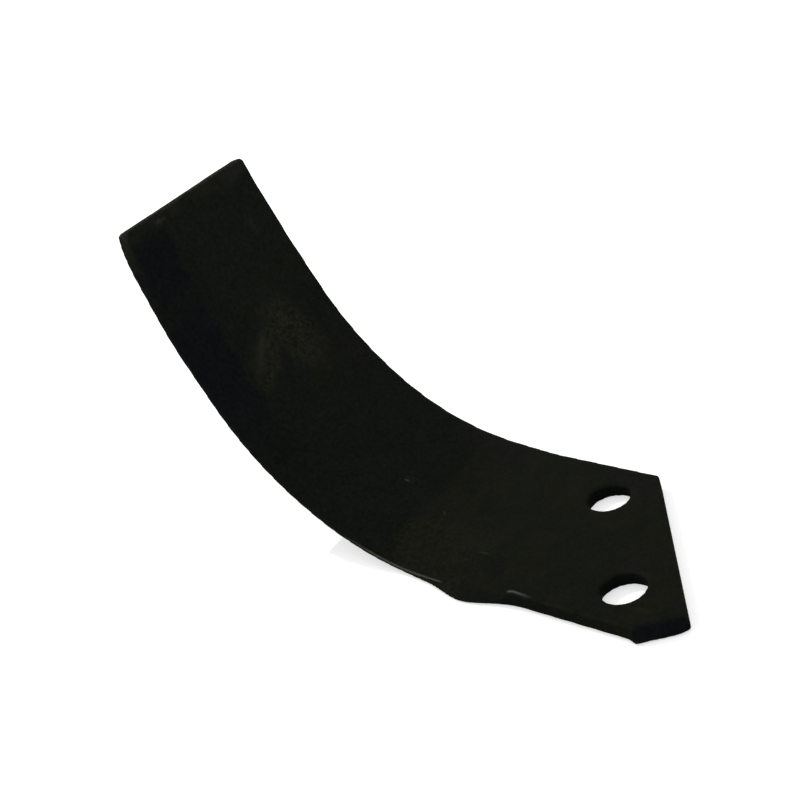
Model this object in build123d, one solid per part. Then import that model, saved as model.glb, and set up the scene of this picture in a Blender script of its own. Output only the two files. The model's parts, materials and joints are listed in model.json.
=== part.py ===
from build123d import *
from math import cos, radians, sin, tan
import os

# Rotary tiller blade: one forged and bent piece of spring steel bar.
# The outer face of the flange lies on z = 0 and the blade curves up from it.
# The origin is midway between the two bolt holes, which lie on the Y axis.

# Bar that the blade is made from
thickness = 6.0
bar_width = 76.8
bar_offset = 0.4            # the bar's middle lies this far towards its back edge from the holes' midpoint
edge_round = 0.6            # rounding of the edges all along the rim

# Flange with its two bolt holes
hole_pitch = 57.0
hole_diameter = 17.0        # clears a 16 mm or 5/8 inch bolt
hole_lip = 0.3              # chamfer on the inner face, where the punch went in
end_margin = 19.6           # from the line of holes to the sheared end
bar_angle = 48.4            # degrees between the line of holes and the length of the bar
heel_depth = 53.4           # from the midpoint of the holes to the crown of the clipped heel
heel_crown = 10.5           # the crown's distance from the line of holes
heel_radius = 37.0
heel_corner_round = 1.5
heel_slope_width = 2.2      # the heel's inner edge is beaten down to a slope this wide at the crown
heel_slope_tilt = 50.0      # degrees that the slope falls
heel_slope_skew = 6.0       # degrees that the slope's upper line leans from square to the line of holes
end_corner_round = 2.0

# Bend, measured on the inner face: an arc at the neck that runs into a slacker one at the tip
bend_skew = 4.0             # degrees that the bend lines lean from square across the bar
bend_start = 63.0           # from the midpoint of the holes to the first bend line
neck_bend = 64.0            # degrees
neck_radius = 110.0
tip_bend = 11.0             # degrees
tip_radius = 338.0
tip_skew = 2.0              # degrees that the sheared tip leans from the bend lines
tip_corner_round = 1.6

# Back edge, which swells where the bend starts and falls back towards the tip
back_swell = 1.0
back_swell_lead = 13.0      # where the swelling begins, before the first bend line
back_swell_rise = 22.0
back_swell_fall = 53.0
back_drop = 2.4
back_drop_length = 80.0

# Cutting edge, hammered out past the bar's lower side before the bend
forging_lead = 46.0         # where the forging begins, before the first bend line
crest_lead = 18.0           # where it stands out furthest
crest_height = 5.3          # how far it stands out there
shoulder_height = 0.8       # what is left of the swelling at the first bend line
shoulder_length = 15.0      # length along the bend over which that goes
edge_height = 0.6           # the edge's line stands out this far at the first bend line
edge_taper = 2.05           # degrees between that line and the bar
tip_swell = 0.95            # how far the edge stands out from that line again by the tip
tip_swell_lead = 69.0       # where that begins, before the tip
tip_swell_length = 26.0
edge_drop = 1.6             # how far the edge falls back at the tip
edge_drop_length = 14.0

# Bevel on the inner face, down to a blunt land along the cutting edge
land = 2.0
bevel_width = 17.0
bevel_widening = 2.6        # how much wider it is at the tip
bevel_lead = 43.0           # where it leaves the bar's corner, before the first bend line
bevel_run_out = 17.0        # length over which it reaches its full depth
tip_fade = 0.7              # share of the depth that is lost at the tip
tip_fade_length = 52.0

# Spacing of the sections along the blade, and how far cutting shapes reach past the steel
station_step = 7.0
reach = 6.0

# Lengths along the inner face
neck_length = neck_radius * radians(neck_bend)
tip_length = tip_radius * radians(tip_bend)
bend_length = neck_length + tip_length
blade_end = bend_start + bend_length

# The blade is drawn lying along x, with the bend lines and the cutting edge towards y,
# and then turned to the line of holes.
turned = Rot(0, 0, 90 + bar_angle + bend_skew)
bar_slope = tan(radians(bend_skew))
half_width = bar_width / 2 / cos(radians(bend_skew))
bar_middle = -bar_offset / cos(radians(bend_skew))
flange_length = bar_width + hole_pitch


def eased(share):
    """A share from 0 to 1 that starts and ends gently."""
    share = min(max(share, 0), 1)
    return share**2 * (3 - 2 * share)


def back_edge(u):
    """The bar's upper side at u along the blade, with its swelling and its fall at the tip."""
    begun = u - bend_start + back_swell_lead
    fallen = eased((begun - back_swell_rise) / back_swell_fall)
    swelling = back_swell * eased(begun / back_swell_rise) * (1 - fallen)
    drop = max(u - blade_end + back_drop_length, 0) / back_drop_length
    return bar_middle - half_width - bar_slope * u - swelling + back_drop * drop**2


def front_edge(u):
    """The bar's lower side, as it was before forging."""
    return bar_middle + half_width - bar_slope * u


def cutting_edge(u):
    """The forged edge past the first bend line, with the last of its swelling."""
    bent = u - bend_start
    shoulder = shoulder_height * max(1 - bent / shoulder_length, 0) ** 2
    by_tip = tip_swell * eased((u - blade_end + tip_swell_lead) / tip_swell_length)
    drop = max(u - blade_end + edge_drop_length, 0) / edge_drop_length
    line = front_edge(u) + edge_height - tan(radians(edge_taper)) * bent
    return line + shoulder + by_tip - edge_drop * drop**2


def tip_share(u):
    """Share of the bevel's full depth that is left near the tip."""
    fading = max(u - blade_end + tip_fade_length, 0) / tip_fade_length
    return 1 - tip_fade * fading**2


def bevel_depth(u):
    """Depth of the bevel at the edge, below zero where it has not yet begun."""
    begun = min((u - bend_start + bevel_lead) / bevel_run_out, 1)
    return (thickness - land) * tip_share(u) * (1 - (1 - begun) ** 2)


def bevel_slope(u):
    """Fall of the bevel for each millimetre towards the edge."""
    bent = max(u - bend_start, 0) / bend_length
    return (thickness - land) * tip_share(u) / (bevel_width + bevel_widening * bent)


def bevel_edge(u):
    """The edge that the bevel runs down to, also where it has not been bent."""
    return cutting_edge(max(u, bend_start)) - bar_slope * min(u - bend_start, 0)


def station(u):
    """Frame square across the blade at u: x to the cutting edge, y out of the inner face."""
    bent = max(u - bend_start, 0)
    neck = min(bent, neck_length) / neck_radius
    angle = neck + max(bent - neck_length, 0) / tip_radius
    run = neck_radius * sin(neck) + tip_radius * (sin(angle) - sin(neck))
    rise = neck_radius * (1 - cos(neck)) + tip_radius * (cos(neck) - cos(angle))
    plane = Plane(
        origin=(min(u, bend_start) + run, 0, thickness + rise),
        x_dir=(0, 1, 0),
        z_dir=(cos(angle), 0, sin(angle)),
    )
    return turned * plane.location


def stations(first, last):
    """Evenly spaced places along the blade."""
    count = round((last - first) / station_step)
    return [first + (last - first) * i / count for i in range(count + 1)]


def bar_section(u):
    """Rectangle of the bar, from its outer face up to its inner face."""
    back = back_edge(u)
    front = cutting_edge(u)
    corners = [(back, -thickness), (front, -thickness), (front, 0), (back, 0)]
    return station(u) * make_face(Polyline(*corners, close=True))


def bevel_section(u):
    """What the bevel takes away, over a straight slope that ends past the edge."""
    edge = bevel_edge(u)
    inner = edge - bevel_width - bevel_widening - reach
    outer = edge + crest_height + reach
    slope = bevel_slope(u)
    low = -bevel_depth(u) - slope * (outer - edge)
    high = -bevel_depth(u) + slope * (edge - inner)
    top = high + reach
    corners = [(inner, high), (outer, low), (outer, top), (inner, top)]
    return station(u) * make_face(Polyline(*corners, close=True))


def flange():
    """Flat part of the bar up to the first bend line, with the edge hammered out."""
    crest = bend_start - crest_lead
    forging = bend_start - forging_lead
    upset = bend_start - back_swell_lead
    edge_start = (bend_start, cutting_edge(bend_start))
    shoulder_slope = bar_slope + tan(radians(edge_taper)) + 2 * shoulder_height / shoulder_length
    swelling = Spline(
        edge_start,
        (crest, front_edge(crest) + crest_height),
        (forging, front_edge(forging)),
        tangents=[(-1, shoulder_slope), (-1, bar_slope)],
    )
    straight = Polyline(
        (forging, front_edge(forging)),
        (-flange_length, front_edge(-flange_length)),
        (-flange_length, back_edge(-flange_length)),
        (upset, back_edge(upset)),
    )
    back_slope = back_edge(bend_start + 0.5) - back_edge(bend_start - 0.5)
    back_swelling = Spline(
        (upset, back_edge(upset)),
        (bend_start, back_edge(bend_start)),
        tangents=[(1, -bar_slope), (1, back_slope)],
    )
    first_bend_line = Line((bend_start, back_edge(bend_start)), edge_start)
    outline = [swelling, straight, back_swelling, first_bend_line]
    return turned * extrude(make_face(outline), thickness)


def tip_cut():
    """Steel past the sheared tip."""
    middle = (back_edge(blade_end) + cutting_edge(blade_end)) / 2
    depth = 2 * (thickness + reach)
    cutter = Pos(0, 0, reach) * Box(2 * bar_width, depth, 2 * reach)
    return station(blade_end) * Pos(middle, 0, 0) * Rot(0, -tip_skew, 0) * cutter


def flange_cuts():
    """Steel past the sheared end and outside the clipped heel."""
    deep = 3 * thickness
    end = Pos(end_margin + flange_length, 0, 0) * Box(2 * flange_length, 4 * flange_length, deep)
    heel = Pos(0, -heel_depth - bar_width / 2, 0) * Box(2 * bar_width, bar_width + heel_radius, deep)
    crown = Pos(heel_crown, heel_radius - heel_depth, 0) * Cylinder(heel_radius, deep)
    return [end, heel - crown]


def heel_slope():
    """Steel above the slope along the heel's inner edge."""
    cutter = Pos(0, 0, reach) * Box(bar_width, 4 * reach, 2 * reach)
    crown = Pos(heel_crown, heel_slope_width - heel_depth, thickness)
    return crown * Rot(heel_slope_tilt, 0, -heel_slope_skew) * cutter


def bolt_holes():
    """Two holes on the Y axis, with a chamfered lip on the inner face."""
    radius = hole_diameter / 2
    bore = Cylinder(radius, 3 * thickness)
    lip = Pos(0, 0, thickness - hole_lip / 2) * Cone(radius, radius + hole_lip, hole_lip)
    return [Pos(0, side * hole_pitch / 2, 0) * (bore + lip) for side in (-1, 1)]


def edges_at(body, u, *offsets):
    """Edges nearest to points at u along the blade, offset across it and out of its inner face."""
    points = [(station(u) * Pos(across, out, 0)).position for across, out in offsets]
    return [body.edges().sort_by_distance(point)[0] for point in points]


def end_corners(body):
    """Edges through the thickness at the sheared end, from the heel up."""
    return body.edges().filter_by(Axis.Z).group_by(Axis.X)[-1].sort_by(Axis.Y)


def rounded(bar):
    """Bar with its corners rounded, and then the rim of both faces."""
    middle = -thickness / 2
    tip_corners = [(back_edge(blade_end), middle), (cutting_edge(blade_end), middle)]
    bar = fillet(edges_at(bar, blade_end, *tip_corners), tip_corner_round)
    bar = fillet(end_corners(bar)[-1], end_corner_round)
    bar = fillet(end_corners(bar)[0], heel_corner_round)
    neck_end = bend_start + neck_length
    sides = [back_edge(neck_end), cutting_edge(neck_end)]
    rim = [(side, face) for side in sides for face in (-thickness, 0)]
    return fillet(edges_at(bar, neck_end, *rim), edge_round)


bar = flange() + loft([bar_section(u) for u in stations(bend_start, blade_end + reach)])
first_bevel = bend_start - bevel_lead - reach
bevel = loft([bevel_section(u) for u in stations(first_bevel, blade_end + 2 * reach)])
blade = rounded(bar - tip_cut() - flange_cuts()) - bevel - heel_slope() - bolt_holes()
print("Volume", round(blade.volume), "mm3, valid", blade.is_valid, "solids", len(blade.solids()))
os.makedirs("parts", exist_ok=True)
export_step(blade, "parts/blade.step")
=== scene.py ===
import json
from math import radians

import bpy
import numpy as np
from bpy.props import FloatProperty, FloatVectorProperty, IntProperty, PointerProperty
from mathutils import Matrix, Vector


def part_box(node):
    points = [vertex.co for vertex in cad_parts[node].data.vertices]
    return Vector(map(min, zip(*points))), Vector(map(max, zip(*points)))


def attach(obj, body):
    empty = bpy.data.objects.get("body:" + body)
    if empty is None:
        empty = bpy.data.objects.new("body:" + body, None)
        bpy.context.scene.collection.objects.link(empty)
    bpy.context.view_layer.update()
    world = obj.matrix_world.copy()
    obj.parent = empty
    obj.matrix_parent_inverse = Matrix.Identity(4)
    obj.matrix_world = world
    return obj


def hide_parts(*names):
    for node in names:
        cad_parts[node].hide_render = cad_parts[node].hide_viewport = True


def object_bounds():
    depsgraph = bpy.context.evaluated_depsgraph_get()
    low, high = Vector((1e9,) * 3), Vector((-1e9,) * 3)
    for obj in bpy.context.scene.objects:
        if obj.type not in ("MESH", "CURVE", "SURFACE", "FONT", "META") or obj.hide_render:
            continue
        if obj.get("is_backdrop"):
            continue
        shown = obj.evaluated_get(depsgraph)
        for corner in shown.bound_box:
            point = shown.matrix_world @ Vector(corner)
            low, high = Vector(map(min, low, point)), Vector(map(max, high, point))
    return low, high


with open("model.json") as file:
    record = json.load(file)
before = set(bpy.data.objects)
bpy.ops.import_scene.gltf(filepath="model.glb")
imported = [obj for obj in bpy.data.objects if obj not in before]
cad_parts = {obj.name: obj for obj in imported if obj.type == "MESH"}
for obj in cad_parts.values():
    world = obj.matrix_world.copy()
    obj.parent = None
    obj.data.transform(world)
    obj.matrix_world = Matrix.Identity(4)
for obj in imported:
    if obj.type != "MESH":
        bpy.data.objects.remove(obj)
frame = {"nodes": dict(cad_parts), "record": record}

# A blade of a rotary tiller: black forged steel, worn along its edges.
# The blade is unbent to a flat bar, worked there, and bent back to its place in the frame.
# On the flat bar x is the distance along the bar from midway between the bolt holes,
# y is across it towards the cutting edge, and z is out of the outer face. All in metres.

bl_info = {
    "name": "Rotary tiller blade",
    "version": (1, 0, 0),
    "blender": (4, 5, 0),
    "location": "View3D > Sidebar > Tiller blade",
    "description": "Forged finish of a tiller blade, with its floor, lamp and camera",
    "category": "Object",
}

MM = 0.001
BOLTS = frame["record"]["mounts"][0]["dims"]
HOLE_REACH = BOLTS["spacing_y_mm"] / 2 * MM
HOLE_RADIUS = BOLTS["hole_r_mm"] * MM
MERGE_GAP = 0.001 * MM
WEIGHT_STEPS = 10

# Places of the colour sockets of a Mix node.
MIX_AMOUNT, MIX_LOW, MIX_HIGH, MIX_RESULT = 0, 6, 7, 2

# How far each long line leans towards the back edge for every metre along the bar.
LAND_LEAN = 0.1057
CREST_LEAN = 0.1174
SIDE_LEAN = 0.07
SIDE_TOP_LEAN = 0.12

# Oval marks of the coat, in mm on the flat bar: the middle and the reach, each along and across.
OVALS = {
    "rust spot": ((89, -39), (5, 3)),
    "patch": ((180.5, -26), (19.5, 10.5)),
    "patch by the back edge": ((226, -41), (9, 5)),
    "back corner": ((248, -46), (6, 8)),
    "curls": ((63, -6), (3, 6)),
    "bend chip": ((101, -5), (0.9, 0.6)),
    "bend specks": ((100, -7), (3.5, 3.5)),
    "tip chip": ((248.4, -3.6), (0.8, 2.2)),
    "bevel chip": ((46, 19.5), (2.8, 0.5)),
    "first arc by the hole": ((-20, 13.8), (3.4, 0.9)),
    "second arc by the hole": ((-30.5, 31.2), (4, 1)),
}

# The same for marks that lie slantwise, by along plus across and by along less across.
SLANTED_OVALS = {
    "arm of the patch": ((171, 188), (10, 22)),
    "neck chip": ((80.5, 73.5), (0.8, 2.2)),
    "scuff": ((174.5, 191), (2, 11)),
}


class BarBend(bpy.types.PropertyGroup):
    """How the flat bar is bent, as the frame's blade is."""

    turn: FloatProperty(
        name="Turn", description="From +X to the length of the bar",
        default=radians(142.4), subtype="ANGLE"
    )
    thickness: FloatProperty(
        name="Thickness", description="From the outer face to the inner face",
        default=6 * MM, unit="LENGTH"
    )
    start: FloatProperty(
        name="Bend start", description="First bend line", default=63 * MM, unit="LENGTH"
    )
    neck_angle: FloatProperty(
        name="Neck bend", description="Bend of the neck", default=radians(64), subtype="ANGLE"
    )
    neck_radius: FloatProperty(
        name="Neck radius", description="Radius of the inner face at the neck",
        default=110 * MM, unit="LENGTH"
    )
    tip_radius: FloatProperty(
        name="Tip radius", description="Radius of the inner face towards the tip",
        default=338 * MM, unit="LENGTH"
    )


class Forging(bpy.types.PropertyGroup):
    """Unevenness of the worked steel."""

    grain: FloatProperty(
        name="Grain", description="Spacing of the mesh's points", default=0.7 * MM, unit="LENGTH"
    )
    ripple_height: FloatProperty(
        name="Ripple height", description="Depth of the hammer's ripples",
        default=0.25 * MM, unit="LENGTH"
    )
    ripple_size: FloatProperty(
        name="Ripple size", description="Width of the hammer's ripples",
        default=22 * MM, unit="LENGTH"
    )
    scale_height: FloatProperty(
        name="Scale height", description="Depth of the marks left by forge scale",
        default=0.1 * MM, unit="LENGTH"
    )
    scale_size: FloatProperty(
        name="Scale size", description="Width of the marks left by forge scale",
        default=3.5 * MM, unit="LENGTH"
    )
    edge_wear: IntProperty(
        name="Edge wear", description="Rounds of smoothing that wear the edges down",
        default=2, min=0
    )
    edge_reach: IntProperty(
        name="Edge reach", description="Rounds of smoothing that show how far the edges stand out",
        default=10, min=1
    )
    regain: FloatVectorProperty(
        name="Regain", description="What the edges and the faces get back after they are worn",
        default=(0.45 * MM, 0.45 * MM, 0.1 * MM), unit="LENGTH", size=3
    )
    breakout: FloatProperty(
        name="Break-out", description="How far each hole has widened at the outer face",
        default=1.0 * MM, unit="LENGTH"
    )
    punch_wear: FloatProperty(
        name="Punch wear", description="How much smaller than drawn the worn punch left each hole",
        default=0.28 * MM, unit="LENGTH"
    )
    breakout_height: FloatProperty(
        name="Break-out height", description="Height over which each hole has widened",
        default=3.3 * MM, unit="LENGTH"
    )
    punch_lean: FloatProperty(
        name="Punch lean", description="Share of the punch wear by which the two holes differ",
        default=0.6
    )
    tear_reach: FloatProperty(
        name="Tear reach", description="How far from a hole's wall its widening fades out",
        default=3 * MM, unit="LENGTH"
    )
    hole_rim: FloatVectorProperty(
        name="Hole rim", description="From where to where off a hole's wall the regain sets in",
        default=(0.3 * MM, 1.3 * MM), unit="LENGTH", size=2
    )
    hot_run: FloatVectorProperty(
        name="Hot run", description="From where to where along the bar the marks of forging set in",
        default=(20 * MM, 80 * MM), unit="LENGTH", size=2
    )
    cold_share: FloatProperty(
        name="Cold share", description="Share of the marks of forging on the flange", default=0.1
    )
    heel_corner: FloatVectorProperty(
        name="Heel corner", description="Where the clipped heel meets the side, on the outer face",
        default=(1.7 * MM, -52.3 * MM, 0), unit="LENGTH", size=3
    )
    burr: FloatVectorProperty(
        name="Burr", description="How far the shears drew that corner out",
        default=(-1.1 * MM, -0.9 * MM, 0), unit="LENGTH", size=3
    )
    end_corner: FloatVectorProperty(
        name="End corner", description="Where the heel meets the sheared end, at half thickness",
        default=(19.3 * MM, -52 * MM, 3 * MM), unit="LENGTH", size=3
    )
    end_wear: FloatVectorProperty(
        name="End wear", description="How far that corner is worn back",
        default=(-0.6 * MM, 0.4 * MM, 0), unit="LENGTH", size=3
    )
    corner_reach: FloatProperty(
        name="Corner reach", description="How far from a corner its burr or wear fades out",
        default=4 * MM, unit="LENGTH"
    )


def colour(name, description, *value):
    """A colour setting."""
    return FloatVectorProperty(
        name=name, description=description, default=value, subtype="COLOR", size=3
    )


class Finish(bpy.types.PropertyGroup):
    """Colours of the coat and of the steel under it, their unevenness and their gloss, with light
    and shade painted into some of them.
    """

    # Painted light: the flange's colours carry the warm tint of the lamp's light that falls on the
    # flange.
    flange: colour("Flange", "Coat on the flange and the neck", 0.0065, 0.0075, 0.0050)
    flange_olive: colour("Flange, olive", "Thinner coat in places there", 0.0079, 0.0080, 0.0047)
    flange_brown: colour("Flange, brown", "Brown film in places there", 0.0073, 0.0074, 0.0057)
    # Painted shade: the blade's colours carry the cool tint of the shade that falls past the bend.
    blade: colour("Blade", "Coat on the bent blade", 0.0076, 0.0087, 0.0062)
    blade_grey: colour("Blade, grey", "Grey film in places on the blade", 0.0070, 0.0085, 0.0070)
    # Painted shade, not heat bluing: the dark blue of the bevel, which faces away from the lamp.
    bevel: colour("Bevel", "Heat-blued steel on the bevel", 0.0054, 0.0060, 0.0068)
    rubbed: colour("Rubbed", "Brown patch where the coat is rubbed thin", 0.0132, 0.0139, 0.0092)
    rust: colour("Rust", "Faint rust towards the back edge", 0.0100, 0.0094, 0.0072)
    # Painted shade, not blued steel: the dark blue of the heel, the hole walls and the side, which
    # face away from the lamp.
    sheared: colour("Sheared", "Blued steel on the heel and in the holes", 0.0046, 0.0056, 0.0062)
    # Coat worn thin along the edges; by the tip it is also a painted highlight on the bevel's crest
    # and on the tip's end.
    rim: colour("Rim", "Coat worn thin along the edges", 0.0135, 0.0143, 0.0098)
    # Bare steel of chips and worn edges, and the colour of the painted glints along the edges.
    bare_and_glint: colour("Bare steel", "Steel where the coat is gone", 0.0750, 0.0770, 0.0660)
    drift_size: FloatProperty(
        name="Drift size", description="Width of the widest unevenness",
        default=30 * MM, unit="LENGTH"
    )
    blotch_size: FloatProperty(
        name="Blotch size", description="Width of the blotches", default=14 * MM, unit="LENGTH"
    )
    smear_size: FloatProperty(
        name="Smear size", description="Width of the smears", default=7 * MM, unit="LENGTH"
    )
    grain_size: FloatProperty(
        name="Grain size", description="Width of the finest grain", default=1.5 * MM, unit="LENGTH"
    )
    rust_cover: FloatProperty(
        name="Rust cover", description="How far the rust hides the coat", default=0.6
    )
    neck_cover: FloatProperty(
        name="Neck cover", description="How olive the hammered side of the neck is", default=0.5
    )
    roughness: FloatVectorProperty(
        name="Roughness", description="Roughness without grain, and what the grain adds",
        default=(0.5, 0.2), size=2
    )
    reflection: FloatProperty(
        name="Reflection", description="Specular level of the dull coat", default=0.01
    )
    bump: FloatProperty(
        name="Bump", description="Strength of the unevenness that is only shaded", default=0.4
    )
    bump_height: FloatProperty(
        name="Bump height", description="Depth of the unevenness that is only shaded",
        default=0.15 * MM, unit="LENGTH"
    )


class Stage(bpy.types.PropertyGroup):
    """Floor, surroundings, lamp and camera."""

    floor_size: FloatProperty(
        name="Floor", description="Side of the floor", default=6.0, unit="LENGTH"
    )
    floor_drop: FloatProperty(
        name="Floor drop", description="How far the floor lies under the blade",
        default=0.3 * MM, unit="LENGTH"
    )
    paper: colour("Paper", "Colour of the floor", 0.8, 0.8, 0.8)
    glow: FloatProperty(
        name="Glow", description="What the camera sees of the floor on top of its light",
        default=0.55
    )
    skylight: FloatProperty(
        name="Skylight", description="Light of the white surroundings on the blade", default=0.72
    )
    lamp_place: FloatVectorProperty(
        name="Lamp", description="Where the lamp hangs",
        default=(-0.81, 0.83, 1.30), subtype="TRANSLATION", size=3
    )
    lamp_size: FloatProperty(
        name="Lamp size", description="Side of the lamp", default=30 * MM, unit="LENGTH"
    )
    lamp_power: FloatProperty(
        name="Lamp power", description="Power of the lamp in watts", default=8.0, subtype="POWER"
    )
    camera_place: FloatVectorProperty(
        name="Camera", description="Where the camera stands",
        default=(0.04087, -0.53279, 0.37397), subtype="TRANSLATION", size=3
    )
    camera_turn: FloatVectorProperty(
        name="Camera turn", description="The camera's rotation",
        default=(radians(60.3485), radians(17.2775), radians(0.7539)), subtype="EULER", size=3
    )
    lens: FloatProperty(
        name="Lens", description="Focal length in millimetres", default=81.0
    )
    sensor: FloatProperty(
        name="Sensor", description="Width of the sensor in millimetres", default=36.0
    )
    sight: FloatVectorProperty(
        name="Sight", description="Nearest and farthest distance that the camera sees",
        default=(0.02, 20.0), unit="LENGTH", size=2
    )


class Socket:
    """An output of a shader node that takes part in Python expressions."""

    def __init__(self, tree, output):
        self.tree = tree
        self.output = output

    def math(self, operation, *others, swapped=False):
        """Adds a Math node on this value and the others."""
        node = self.tree.nodes.new("ShaderNodeMath")
        node.operation = operation
        values = (self, *others)
        if swapped:
            values = values[::-1]
        for place, value in zip(node.inputs, values):
            if isinstance(value, Socket):
                self.tree.links.new(value.output, place)
            else:
                place.default_value = value
        return Socket(self.tree, node.outputs[0])

    def __add__(self, other):
        return self.math("ADD", other)

    __radd__ = __add__

    def __mul__(self, other):
        return self.math("MULTIPLY", other)

    __rmul__ = __mul__

    def __sub__(self, other):
        return self.math("SUBTRACT", other)

    def __rsub__(self, other):
        return self.math("SUBTRACT", other, swapped=True)

    def __truediv__(self, other):
        return self.math("DIVIDE", other)

    def above(self, low, high):
        """Rises smoothly from 0 at low to 1 at high."""
        node = self.tree.nodes.new("ShaderNodeMapRange")
        node.interpolation_type = "SMOOTHSTEP"
        node.inputs["From Min"].default_value = low
        node.inputs["From Max"].default_value = high
        self.tree.links.new(self.output, node.inputs["Value"])
        return Socket(self.tree, node.outputs["Result"])

    def below(self, low, high):
        """Falls smoothly from 1 at low to 0 at high."""
        return 1 - self.above(low, high)

    def near(self, middle, reach):
        """1 at the middle, falling to 0 at a distance of reach."""
        return (self - middle).math("ABSOLUTE").below(0, reach)


class Shader:
    """Node tree of a material or a world, with one method for any node and helpers for colours."""

    def __init__(self, owner):
        owner.use_nodes = True
        self.tree = owner.node_tree
        self.tree.nodes.clear()

    def node(self, kind, settings=None, out=0, **values):
        """Adds a node, makes its settings and then fills its sockets."""
        node = self.tree.nodes.new(kind)
        for name, setting in (settings or {}).items():
            setattr(node, name, setting)
        for name, value in values.items():
            place = node.inputs[name.replace("_", " ")]
            if isinstance(value, Socket):
                self.tree.links.new(value.output, place)
            else:
                place.default_value = value
        return Socket(self.tree, node.outputs[out])

    def axes(self, vector):
        """The three numbers of a vector."""
        parts = self.tree.nodes.new("ShaderNodeSeparateXYZ")
        self.tree.links.new(vector.output, parts.inputs[0])
        return [Socket(self.tree, part) for part in parts.outputs]

    def tinted(self, colour, strength):
        """Colour made lighter or darker by a strength around 1."""
        return self.node(
            "ShaderNodeVectorMath", {"operation": "SCALE"}, Vector=colour, Scale=strength
        )

    def mix(self, amount, low, high):
        """Colour between low and high."""
        node = self.tree.nodes.new("ShaderNodeMix")
        node.data_type = "RGBA"
        self.tree.links.new(amount.output, node.inputs[MIX_AMOUNT])
        for number, value in ((MIX_LOW, low), (MIX_HIGH, high)):
            if isinstance(value, Socket):
                self.tree.links.new(value.output, node.inputs[number])
            else:
                node.inputs[number].default_value = (*value, 1)
        return Socket(self.tree, node.outputs[MIX_RESULT])

    def noise(self, place, size, detail=2.0, roughness=0.5):
        """Even noise from 0 to 1 whose features are about as wide as size."""
        return self.node(
            "ShaderNodeTexNoise", Vector=place, Scale=1 / size, Detail=detail, Roughness=roughness
        )

    def join(self, kind, *parts):
        """Adds a node that takes these parts in the order of its sockets."""
        node = self.tree.nodes.new(kind)
        for part, place in zip(parts, node.inputs):
            self.tree.links.new(part.output, place)
        return Socket(self.tree, node.outputs[0])

    def finish(self, surface, kind="ShaderNodeOutputMaterial"):
        """Shows a surface shader, or a world's light."""
        output = self.tree.nodes.new(kind)
        self.tree.links.new(surface.output, output.inputs["Surface"])


def choose(piece):
    """Leaves only this piece selected."""
    bpy.ops.object.select_all(action="DESELECT")
    piece.select_set(True)
    bpy.context.view_layer.objects.active = piece


def merged_copy(name, node):
    """A copy of one of the frame's nodes, with its loose triangles merged."""
    piece = bpy.data.objects.new(name, node.data.copy())
    bpy.context.scene.collection.objects.link(piece)
    piece.data.materials.clear()
    choose(piece)
    bpy.ops.object.mode_set(mode="EDIT")
    bpy.ops.mesh.select_all(action="SELECT")
    bpy.ops.mesh.remove_doubles(threshold=MERGE_GAP)
    bpy.ops.mesh.customdata_custom_splitnormals_clear()
    bpy.ops.object.mode_set(mode="OBJECT")
    return piece


def apply_modifier(piece, kind, **settings):
    """Adds a modifier, makes its settings and applies it."""
    modifier = piece.modifiers.new(kind.title(), kind)
    for name, setting in settings.items():
        setattr(modifier, name, setting)
    choose(piece)
    bpy.ops.object.modifier_apply(modifier=modifier.name)


def points_of(piece):
    """Places of a piece's points."""
    places = np.empty(len(piece.data.vertices) * 3, np.float32)
    piece.data.vertices.foreach_get("co", places)
    return places.reshape(-1, 3).astype(float)


def normals_of(piece):
    """Normals at a piece's points."""
    normals = np.empty(len(piece.data.vertices) * 3, np.float32)
    piece.data.vertices.foreach_get("normal", normals)
    return normals.reshape(-1, 3).astype(float)


def move_points(piece, places):
    """Moves a piece's points to these places."""
    piece.data.vertices.foreach_set("co", places.astype(np.float32).ravel())
    piece.data.update()


def keep_values(piece, name, kind, field, values):
    """Keeps a value for each of a piece's points, for its shader to read."""
    kept = piece.data.attributes.new(name, kind, "POINT")
    kept.data.foreach_set(field, values.astype(np.float32).ravel())


def ramp(values, low, high):
    """Rises evenly from 0 at low to 1 at high. Falls where low is the higher of the two."""
    return np.clip((values - low) / (high - low), 0, 1)


def turned(places, angle):
    """Places turned about the Z axis."""
    x, y, z = places.T
    cosine, sine = np.cos(angle), np.sin(angle)
    return np.stack([cosine * x - sine * y, sine * x + cosine * y, z], axis=1)


def unbent(places, bend):
    """Places on the bent blade, as they are on the flat bar."""
    x, y, z = turned(places, -bend.turn).T
    inner = bend.thickness
    neck_turn = np.arctan2(x - bend.start, inner + bend.neck_radius - z)
    past = neck_turn > bend.neck_angle
    slack = bend.tip_radius - bend.neck_radius
    middle_x = np.where(past, bend.start - slack * np.sin(bend.neck_angle), bend.start)
    middle_z = inner + bend.neck_radius + np.where(past, slack * np.cos(bend.neck_angle), 0)
    radius = np.where(past, bend.tip_radius, bend.neck_radius)
    angle = np.arctan2(x - middle_x, middle_z - z)
    reach = np.hypot(x - middle_x, middle_z - z)
    neck_length = bend.neck_radius * bend.neck_angle
    past_neck = neck_length + bend.tip_radius * (angle - bend.neck_angle)
    along = bend.start + np.where(past, past_neck, bend.neck_radius * angle)
    curved = x > bend.start
    flat_x = np.where(curved, along, x)
    flat_z = np.where(curved, inner + radius - reach, z)
    return np.stack([flat_x, y, flat_z], axis=1)


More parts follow.
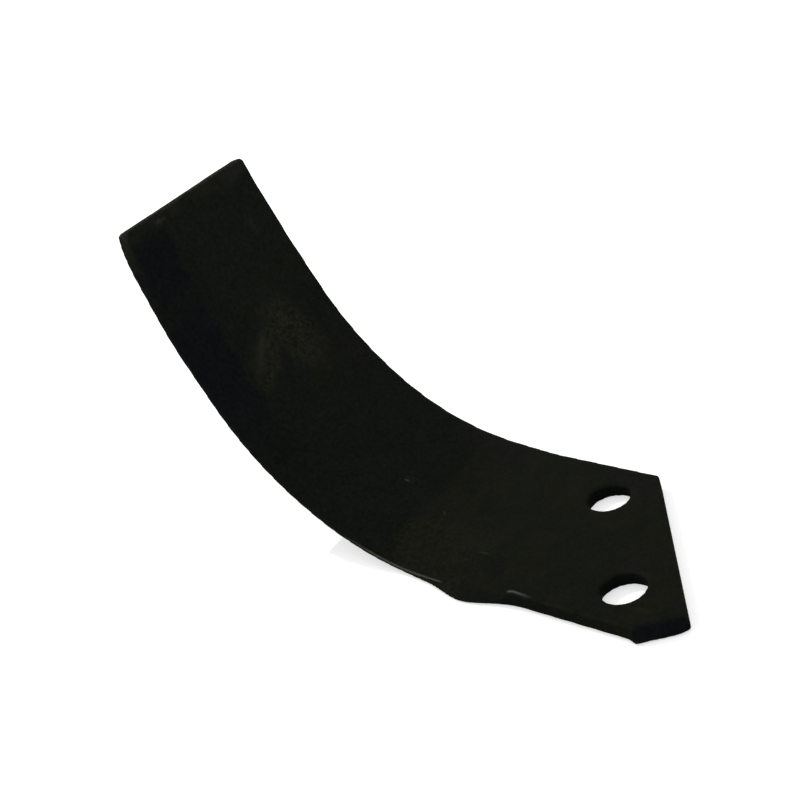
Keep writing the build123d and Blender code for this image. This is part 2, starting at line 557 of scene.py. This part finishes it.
def bent(places, bend):
    """Places on the flat bar, as they are on the bent blade."""
    x, y, z = places.T
    run = np.maximum(x - bend.start, 0)
    neck = np.minimum(run / bend.neck_radius, bend.neck_angle)
    neck_length = bend.neck_radius * bend.neck_angle
    angle = neck + np.maximum(run - neck_length, 0) / bend.tip_radius
    forward = bend.neck_radius * np.sin(neck) + bend.tip_radius * (np.sin(angle) - np.sin(neck))
    rise = bend.neck_radius * (1 - np.cos(neck)) + bend.tip_radius * (np.cos(neck) - np.cos(angle))
    off_face = z - bend.thickness
    bent_x = np.minimum(x, bend.start) + forward - off_face * np.sin(angle)
    bent_z = bend.thickness + rise + off_face * np.cos(angle)
    return turned(np.stack([bent_x, y, bent_z], axis=1), bend.turn)


def off_holes(flat, bend):
    """Distances from the wall of the nearer hole."""
    x, y, _ = turned(flat, bend.turn).T
    return np.hypot(x, np.abs(y) - HOLE_REACH) - HOLE_RADIUS


def widened_holes(flat, bend, forging):
    """Places on the flat bar, with both holes torn wider towards the outer face."""
    x, y, z = turned(flat, bend.turn).T
    side = np.sign(y)
    off = y - side * HOLE_REACH
    fade = ramp(off_holes(flat, bend), forging.tear_reach, 0)
    wear = forging.punch_wear * (1 + forging.punch_lean * side)
    torn = forging.breakout * ramp(z, forging.breakout_height, 0) - wear
    growth = 1 + torn * fade / np.maximum(np.hypot(x, off), HOLE_RADIUS / 2)
    return turned(np.stack([x * growth, side * HOLE_REACH + off * growth, z], axis=1), -bend.turn)


def cornered(flat, bend, forging):
    """Places on the flat bar, with a burr at one corner of the heel and the other one worn."""
    places = turned(flat, bend.turn)
    changes = (forging.heel_corner, forging.burr), (forging.end_corner, forging.end_wear)
    for corner, shift in changes:
        gap = np.linalg.norm(places - np.array(corner), axis=1)
        places = places + ramp(gap, forging.corner_reach, 0)[:, None] * np.array(shift)
    return turned(places, -bend.turn)


def standing_out(piece, rounds):
    """How far each point stands out of the surface once that is smoothed."""
    mesh = piece.data
    ends = np.empty(len(mesh.edges) * 2, np.int32)
    mesh.edges.foreach_get("vertices", ends)
    first, second = ends.reshape(-1, 2).T
    places = points_of(piece)
    count = len(places)
    neighbours = np.bincount(ends, minlength=count)[:, None]
    smooth = places
    for _ in range(rounds):
        sums = [
            np.bincount(first, side[second], count) + np.bincount(second, side[first], count)
            for side in smooth.T
        ]
        smooth = np.stack(sums, axis=1) / neighbours
    return ((places - smooth) * normals_of(piece)).sum(axis=1)


def weigh(piece, name, shares):
    """Vertex group that holds these shares, to the nearest tenth."""
    group = piece.vertex_groups.new(name=name)
    steps = np.rint(shares * WEIGHT_STEPS).astype(int)
    for step in range(1, WEIGHT_STEPS + 1):
        group.add(np.flatnonzero(steps == step).tolist(), step / WEIGHT_STEPS, "REPLACE")


def roughen(piece, group, name, size, depth, height):
    """Displaces the points of a vertex group by a cloudy pattern."""
    pattern = bpy.data.textures.new(name, "CLOUDS")
    pattern.noise_scale = size
    pattern.noise_depth = depth
    apply_modifier(
        piece, "DISPLACE", texture=pattern, strength=height, mid_level=0.5, vertex_group=group
    )


class TILLER_OT_forge_blade(bpy.types.Operator):
    """Works a copy of the frame's blade as a flat bar and bends it back"""

    bl_idname = "tiller.forge_blade"
    bl_label = "Forge the blade"

    def execute(self, context):
        bend = context.scene.tiller_bend
        forging = context.scene.tiller_forging
        piece = merged_copy("forged_blade", frame["nodes"]["blade"])
        move_points(piece, unbent(points_of(piece), bend))
        apply_modifier(
            piece, "REMESH", mode="VOXEL", voxel_size=forging.grain, use_smooth_shade=True
        )
        apply_modifier(piece, "SMOOTH", factor=0.5, iterations=forging.edge_wear)
        flat = points_of(piece)
        off_rims = ramp(off_holes(flat, bend), *forging.hole_rim)[:, None]
        regained = flat + normals_of(piece) * np.array(forging.regain) * off_rims
        move_points(piece, cornered(widened_holes(regained, bend, forging), bend, forging))
        along = points_of(piece)[:, 0]
        weigh(piece, "worked hot", np.maximum(ramp(along, *forging.hot_run), forging.cold_share))
        roughen(
            piece, "worked hot", "hammer ripples",
            size=forging.ripple_size, depth=1, height=forging.ripple_height
        )
        roughen(
            piece, "worked hot", "forge scale",
            size=forging.scale_size, depth=2, height=forging.scale_height
        )
        piece.vertex_groups.clear()
        flat = points_of(piece)
        keep_values(piece, "bar", "FLOAT_VECTOR", "vector", flat)
        keep_values(piece, "worn", "FLOAT", "value", standing_out(piece, forging.edge_reach) / MM)
        low, high = (np.array(corner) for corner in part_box("blade"))
        move_points(piece, np.clip(bent(flat, bend), low, high))
        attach(piece, "root")
        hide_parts("blade")
        return {"FINISHED"}


class TILLER_OT_coat_blade(bpy.types.Operator):
    """Gives the blade its worn black coat, with light and shade painted into its colours"""

    bl_idname = "tiller.coat_blade"
    bl_label = "Coat the blade"

    def execute(self, context):
        finish = context.scene.tiller_finish
        material = bpy.data.materials.new("worn_coat_with_painted_light")
        shader = Shader(material)
        skin = Skin(shader, finish)
        smooth, grainy = finish.roughness
        height = 0.5 * skin.blotch + 0.5 * skin.grain
        shader.finish(shader.node(
            "ShaderNodeBsdfPrincipled",
            Base_Color=coat_colour(shader, finish, skin),
            Roughness=smooth + grainy * skin.grain,
            Specular_IOR_Level=finish.reflection,
            Normal=shader.node(
                "ShaderNodeBump", Strength=finish.bump, Distance=finish.bump_height, Height=height
            ),
        ))
        bpy.data.objects["forged_blade"].data.materials.append(material)
        return {"FINISHED"}


def sway(pattern, reach):
    """A pattern from 0 to 1 as a sway of half the reach either way."""
    return reach * (pattern - 0.5)


def oval_share(first, second, middle, reach):
    """0 at the middle of an oval and 1 on its edge, which are given in mm."""
    share_first = (first - middle[0] * MM) / (reach[0] * MM)
    share_second = (second - middle[1] * MM) / (reach[1] * MM)
    return (share_first * share_first + share_second * share_second).math("SQRT")


class Skin:
    """What the coat reads at each point of the blade: its place there and the uneven patterns."""

    def __init__(self, shader, finish):
        bar = shader.node("ShaderNodeAttribute", {"attribute_name": "bar"}, out="Vector")
        self.along, self.across, self.out = shader.axes(bar)
        self.inner_face = self.out.above(0.8 * MM, 1.6 * MM)
        self.worn = shader.node("ShaderNodeAttribute", {"attribute_name": "worn"}, out="Fac")
        self.place = shader.node("ShaderNodeTexCoord", out="Object")
        self.drift = shader.noise(self.place, finish.drift_size, detail=2)
        self.blotch = shader.noise(self.place, finish.blotch_size, detail=3)
        self.smear = shader.noise(self.place, finish.smear_size, detail=4, roughness=0.6)
        self.grain = shader.noise(self.place, finish.grain_size, detail=3, roughness=0.6)

    def line(self, lean):
        """Distance across the bar, counted along lines that lean towards the back edge."""
        return self.across + lean * self.along

    def oval(self, mark):
        """0 at the middle of one of the oval marks, 1 on its edge."""
        return oval_share(self.along, self.across, *OVALS[mark])

    def slanted_oval(self, mark):
        """0 at the middle of one of the slanted oval marks, 1 on its edge."""
        return oval_share(self.along + self.across, self.along - self.across, *SLANTED_OVALS[mark])


def coat_colour(shader, finish, skin):
    """Black coat over the whole blade, with what wear has done to it, and with light and shade
    painted in: a warm tint where the lamp lights the flange, a cool tint and dark blue where the
    shade falls, and glints on edges.
    """
    # At the lamp's shadow line the coat turns from the flange's warm lit tint to the blade's cool
    # shaded tint: painted light and shade.
    shaded_bent_part = (skin.along + sway(skin.drift, 24 * MM)).above(82 * MM, 94 * MM)
    flange, blade = flange_coat(shader, finish, skin), blade_coat(shader, finish, skin)
    coat = shader.mix(shaded_bent_part, flange, blade)
    coat = shader.mix(finish.rust_cover * rusty_places(skin, shaded_bent_part), coat, finish.rust)
    patch = rubbed_patch(skin)
    mottled = sway(skin.grain, 1.3) + sway(skin.smear, 0.9)
    coat = shader.mix(patch, coat, finish.rubbed)
    coat = shader.tinted(coat, 1 + patch * mottled)
    neck = hammered_neck(skin) * (1 - shaded_bent_part)
    grainy = 0.15 + sway(skin.grain, 0.7)
    coat = shader.mix(finish.neck_cover * neck, coat, finish.flange_olive)
    coat = shader.tinted(coat, 1 + neck * grainy)
    for change in lighter_places(skin):
        coat = shader.tinted(coat, 1 + change)
    # Painted shade on the bevel.
    coat = shader.mix(bevel_shade_band(skin), coat, finish.bevel)
    # Painted shade on the heel, the walls of the holes and the side.
    coat = shader.mix(faces_in_shade(shader, skin), coat, finish.sheared)
    uneven = sway(skin.grain, 1.4) + sway(skin.smear, 0.6)
    coat = shader.tinted(coat, 1 + uneven)
    # Worn edges, and painted highlights by the tip.
    coat = shader.mix(thin_edges_and_sheen(skin), coat, finish.rim)
    # Chips of bare steel, and painted glints along the edges.
    bare_and_glint = bare_edges_and_glints(skin).math("MAXIMUM", chips(skin))
    return shader.mix(bare_and_glint, coat, finish.bare_and_glint)


def flange_coat(shader, finish, skin):
    """Coat of the flange and the neck, in the painted warm tint of the lamp's light, olive in some
    places and with a brown film in others.
    """
    coat = shader.mix(skin.blotch.above(0.45, 0.65), finish.flange, finish.flange_olive)
    return shader.mix(skin.drift.above(0.55, 0.65), coat, finish.flange_brown)


def blade_coat(shader, finish, skin):
    """Coat of the bent part, in the painted cool tint of its shade, with a grey film in places,
    most of all by the bend.
    """
    film = skin.blotch + 0.08 * skin.along.below(120 * MM, 150 * MM)
    return shader.mix(film.above(0.42, 0.6), finish.blade, finish.blade_grey)


def rusty_places(skin, shaded_bent_part):
    """Faint rust towards the back edge past the bend, and one spot of it by the bend."""
    back_edge = skin.across.below(-38 * MM, -26 * MM) * shaded_bent_part * skin.drift.above(0.45, 0.6)
    spot = (skin.oval("rust spot") + sway(skin.smear, 2)).below(0.5, 1.3)
    return back_edge.math("MAXIMUM", spot)


def rubbed_patch(skin):
    """Patch on the inner face past the bend, with an arm towards the bevel."""
    main = skin.oval("patch").math("MINIMUM", skin.slanted_oval("arm of the patch"))
    whole = main.math("MINIMUM", 0.6 + skin.oval("patch by the back edge"))
    frayed = whole + (sway(skin.smear, 2.4) + sway(skin.grain, 1.2))
    return frayed.below(0.6, 1.3) * skin.inner_face


def hammered_neck(skin):
    """The side of the neck towards the cutting edge, on which the hammer fell."""
    return skin.along.above(40 * MM, 52 * MM) * skin.across.above(-2 * MM, 14 * MM)


def lighter_places(skin):
    """How much lighter the coat is by the tip and in its corner, and darker in the neck's curls."""
    by_tip = skin.along.above(185 * MM, 205 * MM) * skin.across.below(-14 * MM, -4 * MM)
    corner = (skin.oval("back corner") + sway(skin.grain, 1.2)).below(0.5, 1.1) * skin.inner_face
    curls = skin.oval("curls").below(0.6, 1.2) * skin.grain.above(0.5, 0.6) * skin.inner_face
    return 0.1 * by_tip, 0.4 * corner, -0.3 * curls


def bevel_shade_band(skin):
    """Painted shade: a dark band along the bevel, which faces away from the lamp, fainter in one
    place, that stops short of the tip.
    """
    crest = (skin.line(CREST_LEAN) - sway(skin.smear, 6 * MM)).above(24 * MM, 26.6 * MM)
    start = skin.along.above(115 * MM, 190 * MM)
    faint = 0.6 * (skin.along + sway(skin.smear, 10 * MM)).near(216 * MM, 9 * MM)
    short = (skin.along + sway(skin.smear, 5 * MM)).below(240 * MM, 249 * MM)
    return crest * start * (1 - faint) * short * skin.inner_face


def faces_in_shade(shader, skin):
    """Painted shade on the clipped heel and on the side where the forging starts, which face away
    from the lamp, and on the walls of the two holes, darker deeper in and towards +x.
    """
    x, y, _ = shader.axes(skin.place)
    heel = y.below(-52.2 * MM, -50.8 * MM)
    off_hole = y.math("ABSOLUTE") - HOLE_REACH
    radius = (x * x + off_hole * off_hole).math("SQRT")
    wall = radius.below(HOLE_RADIUS + 0.2 * MM, HOLE_RADIUS + 1.6 * MM)
    depth = skin.out.below(2.8 * MM, 6.2 * MM) * (0.5 + 0.7 * skin.smear)
    far_side = 0.3 + 0.7 * x.above(-8.5 * MM, -3 * MM)
    side = skin.line(SIDE_LEAN).above(37.8 * MM, 38.6 * MM) * skin.along.near(27 * MM, 18 * MM)
    return heel.math("MAXIMUM", wall * depth * far_side).math("MAXIMUM", 0.8 * side)


def thin_edges_and_sheen(skin):
    """Where the coat is lighter: worn thin along every edge and on the land by the tip, with
    painted highlights on the crest of the bevel and on the end of the tip.
    """
    edge = (skin.worn + sway(skin.smear, 1.2)).above(0.35, 0.75)
    land = skin.line(LAND_LEAN).above(38.8 * MM, 41.3 * MM) * skin.along.above(205 * MM, 240 * MM)
    crest = skin.line(CREST_LEAN).near(22.5 * MM, 2.5 * MM) * skin.along.above(225 * MM, 246 * MM)
    tip = (skin.along + sway(skin.smear, 4 * MM)).above(245 * MM, 248.5 * MM)
    by_tip = land.math("MAXIMUM", 0.5 * crest).math("MAXIMUM", 0.7 * tip)
    return (0.5 * edge).math("MAXIMUM", by_tip * skin.smear.above(0.3, 0.65))


def bare_edges_and_glints(skin):
    """Where the edges have lost their coat and also catch the lamp, as painted glints: by the neck,
    at the forged corner and at the tip.
    """
    land_top = skin.line(LAND_LEAN).near(41.1 * MM, 0.5 * MM) * skin.out.above(1 * MM, 1.8 * MM)
    neck = skin.along.above(55 * MM, 58 * MM) * skin.along.below(88 * MM, 108 * MM) * land_top
    side_top = skin.line(SIDE_TOP_LEAN).near(38.2 * MM, 0.8 * MM)
    side_top = side_top * skin.out.above(4.5 * MM, 5.5 * MM)
    corner = skin.along.above(11 * MM, 21 * MM) * skin.along.below(24 * MM, 26 * MM) * side_top
    edge = (skin.worn + sway(skin.grain, 1.2)).above(0.45, 0.7)
    tip = skin.along.above(245 * MM, 249 * MM) * edge
    return (neck * (0.35 + skin.grain)).math("MAXIMUM", corner).math("MAXIMUM", 0.14 * tip)


def chips(skin):
    """Small places where the coat has been knocked off the inner face, some barer than others."""
    fray = sway(skin.grain, 2)
    dull = skin.slanted_oval("neck chip").math("MINIMUM", skin.oval("bevel chip"))
    arcs = skin.oval("first arc by the hole").math("MINIMUM", skin.oval("second arc by the hole"))
    return skin.inner_face * (
        0.4 * (skin.oval("bend chip") + 1.5 * fray).below(0.6, 1.3)
        + 0.2 * (skin.oval("tip chip") + 2.4 * fray).below(0.4, 1.6)
        + 0.06 * (skin.oval("bend specks") - 3 * fray).below(0.1, 0.6)
        + 0.04 * (arcs + fray).below(0.5, 1.4)
        + 0.12 * (dull + fray).below(0.6, 1.3)
        + 0.09 * (skin.slanted_oval("scuff") + 3.5 * fray).below(0.2, 1.4)
    )


class TILLER_OT_stage(bpy.types.Operator):
    """Puts up the floor, the white surroundings, the lamp and the camera"""

    bl_idname = "tiller.stage"
    bl_label = "Set the stage"

    def execute(self, context):
        stage = context.scene.tiller_stage
        bpy.ops.object.select_all(action="DESELECT")
        bpy.ops.mesh.primitive_plane_add(size=stage.floor_size, location=(0, 0, -stage.floor_drop))
        floor = context.active_object
        floor.name = "floor"
        bpy.ops.object.transform_apply(location=True, rotation=False, scale=False)
        floor.data.materials.append(floor_paper(stage))
        floor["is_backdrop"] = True
        context.scene.world = surroundings(stage)
        hang_lamp(context.scene, stage)
        context.scene.camera = set_up_camera(context.scene, stage)
        context.scene.view_settings.view_transform = "Standard"
        return {"FINISHED"}


def floor_paper(stage):
    """White paper that looks a little brighter than it is lit, and is seen through from below."""
    material = bpy.data.materials.new("white_paper")
    shader = Shader(material)
    seen = shader.node("ShaderNodeLightPath", out="Is Camera Ray")
    paper = shader.node("ShaderNodeBsdfDiffuse", Color=(*stage.paper, 1))
    glow = shader.node("ShaderNodeEmission", Strength=seen * stage.glow)
    lit = shader.join("ShaderNodeAddShader", paper, glow)
    behind = shader.node("ShaderNodeNewGeometry", out="Backfacing")
    clear = shader.node("ShaderNodeBsdfTransparent")
    shader.finish(shader.join("ShaderNodeMixShader", behind, lit, clear))
    return material


def surroundings(stage):
    """White all round for what is seen and mirrored, and a soft grey light on the blade."""
    world = bpy.data.worlds.new("surroundings")
    shader = Shader(world)
    seen, mirrored, through = (
        shader.node("ShaderNodeLightPath", out=ray)
        for ray in ("Is Camera Ray", "Is Glossy Ray", "Is Transmission Ray")
    )
    direct = seen.math("MAXIMUM", mirrored).math("MAXIMUM", through)
    strength = direct * (1 - stage.skylight) + stage.skylight
    light = shader.node("ShaderNodeBackground", Color=(1, 1, 1, 1), Strength=strength)
    shader.finish(light, "ShaderNodeOutputWorld")
    return world


def hang_lamp(scene, stage):
    """A small square lamp that looks at the middle of the blade."""
    low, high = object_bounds()
    light = bpy.data.lights.new("key_lamp", "AREA")
    light.size = stage.lamp_size
    light.energy = stage.lamp_power
    lamp = bpy.data.objects.new("key_lamp", light)
    scene.collection.objects.link(lamp)
    lamp.location = stage.lamp_place
    gaze = (low + high) / 2 - Vector(stage.lamp_place)
    lamp.rotation_euler = gaze.to_track_quat("-Z", "Y").to_euler()


def set_up_camera(scene, stage):
    """The camera at the photograph's viewing angle."""
    camera = bpy.data.objects.new("camera", bpy.data.cameras.new("camera"))
    scene.collection.objects.link(camera)
    camera.location = stage.camera_place
    camera.rotation_euler = stage.camera_turn
    camera.data.lens = stage.lens
    camera.data.sensor_width = stage.sensor
    camera.data.clip_start, camera.data.clip_end = stage.sight
    return camera


class TILLER_PT_panel(bpy.types.Panel):
    """Shows every setting of the blade and its stage, and a button for each step"""

    bl_label = "Tiller blade"
    bl_idname = "TILLER_PT_panel"
    bl_space_type = "VIEW_3D"
    bl_region_type = "UI"
    bl_category = "Tiller blade"

    def draw(self, context):
        column = self.layout.column()
        for group in GROUPS:
            settings = getattr(context.scene, group)
            for name in settings.__annotations__:
                column.prop(settings, name)
        for operator in OPERATORS:
            column.operator(operator.bl_idname)


GROUPS = {
    "tiller_bend": BarBend,
    "tiller_forging": Forging,
    "tiller_finish": Finish,
    "tiller_stage": Stage,
}
OPERATORS = (TILLER_OT_forge_blade, TILLER_OT_coat_blade, TILLER_OT_stage)
CLASSES = (*GROUPS.values(), *OPERATORS, TILLER_PT_panel)


def register():
    for cls in CLASSES:
        bpy.utils.register_class(cls)
    for name, group in GROUPS.items():
        setattr(bpy.types.Scene, name, PointerProperty(type=group))


def unregister():
    for name in GROUPS:
        delattr(bpy.types.Scene, name)
    for cls in reversed(CLASSES):
        bpy.utils.unregister_class(cls)


def main():
    register()
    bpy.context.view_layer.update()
    bpy.ops.tiller.forge_blade()
    bpy.ops.tiller.coat_blade()
    bpy.ops.tiller.stage()
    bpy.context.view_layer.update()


if __name__ == "__main__":
    main()
